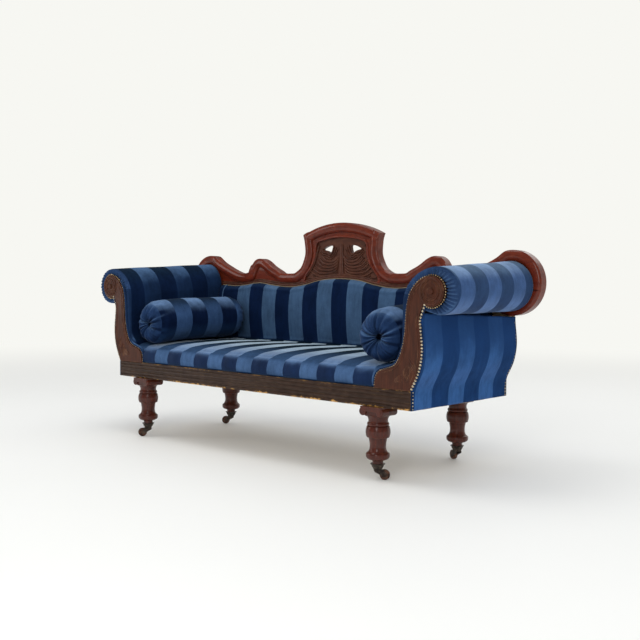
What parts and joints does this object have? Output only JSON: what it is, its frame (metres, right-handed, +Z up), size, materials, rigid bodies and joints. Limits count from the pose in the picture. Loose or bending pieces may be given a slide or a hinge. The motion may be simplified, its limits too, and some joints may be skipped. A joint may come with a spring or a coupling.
{
  "type": "scroll-end sofa",
  "caption": "Long scroll-armed sofa in striped velvet with a waved, carved wooden crest, loose round bolsters and turned legs on swivelling castors; for sitting or reclining.",
  "frame": {"origin": "on the floor, at the centre of the whole sofa's length and depth", "axes": "+X along the length towards the sitter's left end, +Y from the front to the back, +Z up"},
  "size_m": [2.052, 0.654, 0.988],
  "materials": {
    "mahogany": "polished reddish mahogany",
    "dark_show_wood": "worn dark brown polish",
    "hidden_beech": "plain sawn timber",
    "striped_velvet": "striped blue velvet",
    "bolster_velvet": "striped blue velvet",
    "jute": "coarse woven jute",
    "spring_steel": "coppered wire",
    "castor_iron": "dark patinated metal",
    "castor_brass": "dull old brass"
  },
  "bodies": {
    "sofa": {"back_muntins": "hidden_beech", "back_pad": "striped_velvet", "back_tacking_rails": "hidden_beech", "cartouche_panel": "mahogany", "corner_blocks": "hidden_beech", "crest_cartouche": "mahogany", "front_left_castor_cup": "castor_iron", "front_left_leg": "mahogany", "front_right_castor_cup": "castor_iron", "front_right_leg": "mahogany", "front_seat_rail": "dark_show_wood", "left_arm_facing": "dark_show_wood", "left_arm_pad": "striped_velvet", "left_arm_tacking_rail": "hidden_beech", "left_arm_top_rail": "hidden_beech", "left_crest_end": "mahogany", "left_crest_rail": "mahogany", "left_end_rail": "hidden_beech", "left_leg_bearer": "hidden_beech", "left_outside_arm_cover": "striped_velvet", "left_rear_post": "hidden_beech", "outside_back_cover": "striped_velvet", "rear_left_castor_cup": "castor_iron", "rear_left_leg": "mahogany", "rear_right_castor_cup": "castor_iron", "rear_right_leg": "mahogany", "rear_seat_rail": "hidden_beech", "right_arm_facing": "dark_show_wood", "right_arm_pad": "striped_velvet", "right_arm_tacking_rail": "hidden_beech", "right_arm_top_rail": "hidden_beech", "right_crest_end": "mahogany", "right_crest_rail": "mahogany", "right_end_rail": "hidden_beech", "right_leg_bearer": "hidden_beech", "right_outside_arm_cover": "striped_velvet", "right_rear_post": "hidden_beech", "seat_hessian": "jute", "seat_pad": "striped_velvet", "seat_springs": "spring_steel", "seat_webbing_cross": "jute", "seat_webbing_long": "jute"},
    "front_left_swivel": {"front_left_castor_fork": "castor_iron", "front_left_castor_axle": "castor_brass"},
    "front_left_roller": {"front_left_castor_wheel": "castor_brass"},
    "front_right_swivel": {"front_right_castor_fork": "castor_iron", "front_right_castor_axle": "castor_brass"},
    "front_right_roller": {"front_right_castor_wheel": "castor_brass"},
    "rear_left_swivel": {"rear_left_castor_fork": "castor_iron", "rear_left_castor_axle": "castor_brass"},
    "rear_left_roller": {"rear_left_castor_wheel": "castor_brass"},
    "rear_right_swivel": {"rear_right_castor_fork": "castor_iron", "rear_right_castor_axle": "castor_brass"},
    "rear_right_roller": {"rear_right_castor_wheel": "castor_brass"},
    "bolster_left": {"left_bolster": "bolster_velvet"},
    "bolster_right": {"right_bolster": "bolster_velvet"}
  },
  "joints": [
    {"name": "front_left_castor_turn", "type": "hinge", "parent": "sofa", "child": "front_left_swivel", "pos_m": [-0.677, -0.28, 0.04], "axis": [0, 0, 1], "continuous": true},
    {"name": "front_left_wheel_roll", "type": "hinge", "parent": "front_left_swivel", "child": "front_left_roller", "pos_m": [-0.68799, -0.30356, 0.019], "axis": [0.9063, -0.4226, 0], "continuous": true},
    {"name": "front_right_castor_turn", "type": "hinge", "parent": "sofa", "child": "front_right_swivel", "pos_m": [0.677, -0.28, 0.04], "axis": [0, 0, 1], "continuous": true},
    {"name": "front_right_wheel_roll", "type": "hinge", "parent": "front_right_swivel", "child": "front_right_roller", "pos_m": [0.69538, -0.26162, 0.019], "axis": [-0.7071, 0.7071, 0], "continuous": true},
    {"name": "rear_left_castor_turn", "type": "hinge", "parent": "sofa", "child": "rear_left_swivel", "pos_m": [-0.677, 0.237, 0.04], "axis": [0, 0, 1], "continuous": true},
    {"name": "rear_left_wheel_roll", "type": "hinge", "parent": "rear_left_swivel", "child": "rear_left_roller", "pos_m": [-0.69538, 0.21862, 0.019], "axis": [0.7071, -0.7071, 0], "continuous": true},
    {"name": "rear_right_castor_turn", "type": "hinge", "parent": "sofa", "child": "rear_right_swivel", "pos_m": [0.677, 0.237, 0.04], "axis": [0, 0, 1], "continuous": true},
    {"name": "rear_right_wheel_roll", "type": "hinge", "parent": "rear_right_swivel", "child": "rear_right_roller", "pos_m": [0.65344, 0.24799, 0.019], "axis": [-0.4226, -0.9063, 0], "continuous": true},
    {"name": "left_bolster_lift", "type": "slide", "parent": "sofa", "child": "bolster_left", "axis": [0, 0, 1], "range_m": [0, 0.25]},
    {"name": "right_bolster_lift", "type": "slide", "parent": "sofa", "child": "bolster_right", "axis": [0, 0, 1], "range_m": [0, 0.25]}
  ]
}
